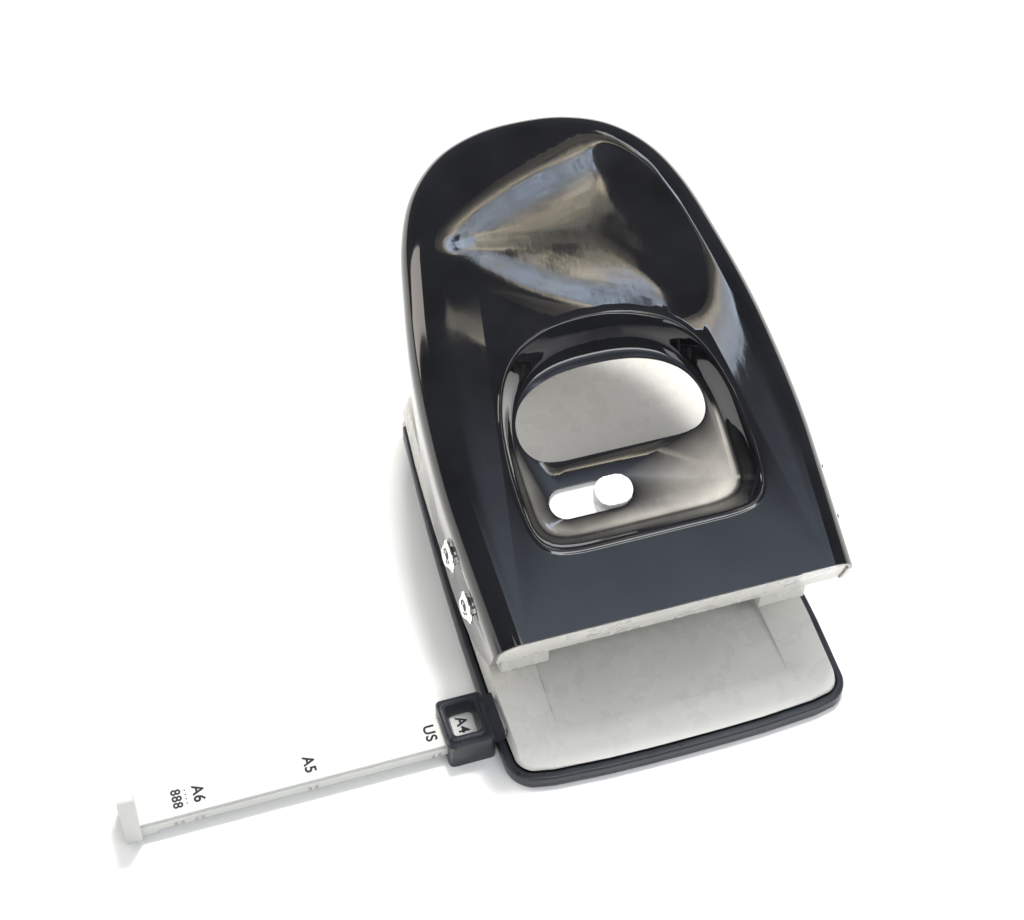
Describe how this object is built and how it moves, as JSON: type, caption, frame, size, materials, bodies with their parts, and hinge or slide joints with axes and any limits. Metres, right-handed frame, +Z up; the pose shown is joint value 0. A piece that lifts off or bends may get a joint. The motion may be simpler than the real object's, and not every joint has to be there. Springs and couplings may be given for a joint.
{
  "type": "hole punch",
  "caption": "Desk hole punch with a gloss black lever handle, grey and black plastic base and a pull-out format bar at the left.",
  "frame": {"origin": "on the table under the middle of the base, where the underside of the black rim rests", "axes": "+X to the right across the width, -Y the edge that sheets enter from, +Y towards the palm end of the handle, +Z up"},
  "size_m": [0.2084, 0.1664, 0.0951],
  "materials": {
    "black_enamel": "gloss black enamel on pressed steel",
    "black_plastic": "satin anthracite moulding",
    "grey_plastic": "satin light grey moulding",
    "white_plastic": "satin off-white moulding",
    "knob_plastic": "satin pale grey moulding",
    "zinc_steel": "bright zinc-plated pressed steel",
    "bright_nickel": "bright nickel-plated steel",
    "spring_steel": "drawn spring steel",
    "rubber": "soft matt rubber"
  },
  "bodies": {
    "base": {"base_body": "grey_plastic", "base_rim": "black_plastic", "guide_head": "black_plastic", "bar_detent": "spring_steel", "chassis": "zinc_steel", "chassis_screw_1": "zinc_steel", "chassis_screw_2": "zinc_steel", "base_screw_1": "zinc_steel", "base_screw_2": "zinc_steel", "base_screw_3": "zinc_steel", "base_screw_4": "zinc_steel", "punch_housing_left": "grey_plastic", "punch_housing_right": "grey_plastic", "guide_bush_left": "zinc_steel", "guide_bush_right": "zinc_steel", "lock_catch": "zinc_steel", "hatch_pin": "zinc_steel", "pad_front_left": "rubber", "pad_front_right": "rubber", "pad_middle_left": "rubber", "pad_middle_right": "rubber", "return_spring_left": "spring_steel", "return_spring_right": "spring_steel"},
    "handle": {"handle_shell": "black_enamel", "handle_fascia": "grey_plastic", "front_axle": "bright_nickel", "drive_axle": "bright_nickel", "front_cap_left": "bright_nickel", "front_cap_right": "bright_nickel", "drive_cap_left": "bright_nickel", "drive_cap_right": "bright_nickel"},
    "lock": {"lock_slider": "knob_plastic"},
    "punch_left": {"punch_pin_left": "bright_nickel", "spring_clip_left": "spring_steel"},
    "punch_right": {"punch_pin_right": "bright_nickel", "spring_clip_right": "spring_steel"},
    "hatch": {"chip_hatch": "black_plastic"},
    "bar": {"format_bar": "white_plastic"}
  },
  "joints": [
    {"name": "handle_press", "type": "hinge", "parent": "base", "child": "handle", "pos_m": [0, -0.0349, 0.0407], "axis": [-1, 0, 0], "range_deg": [0, 26], "stiffness_Nm_per_rad": 1, "springref_deg": -28.65},
    {"name": "punch_left_stroke", "type": "slide", "parent": "base", "child": "punch_left", "axis": [0, 0, -1], "range_m": [0, 0.0068], "deforming": ["return_spring_left"]},
    {"name": "punch_right_stroke", "type": "slide", "parent": "base", "child": "punch_right", "axis": [0, 0, -1], "range_m": [0, 0.0068], "deforming": ["return_spring_right"]},
    {"name": "lock_slide", "type": "slide", "parent": "handle", "child": "lock", "axis": [-1, 0, 0], "range_m": [0, 0.0124]},
    {"name": "bar_slide", "type": "slide", "parent": "base", "child": "bar", "axis": [1, 0, 0], "range_m": [0, 0.08]},
    {"name": "hatch_open", "type": "hinge", "parent": "base", "child": "hatch", "pos_m": [0, 0.0575, 0.0026], "axis": [1, 0, 0], "range_deg": [0, 60]}
  ],
  "couplings": [
    {"joint": "punch_left_stroke", "follows": "handle_press", "m_per_rad": 0.014807},
    {"joint": "punch_right_stroke", "follows": "handle_press", "m_per_rad": 0.014807}
  ]
}
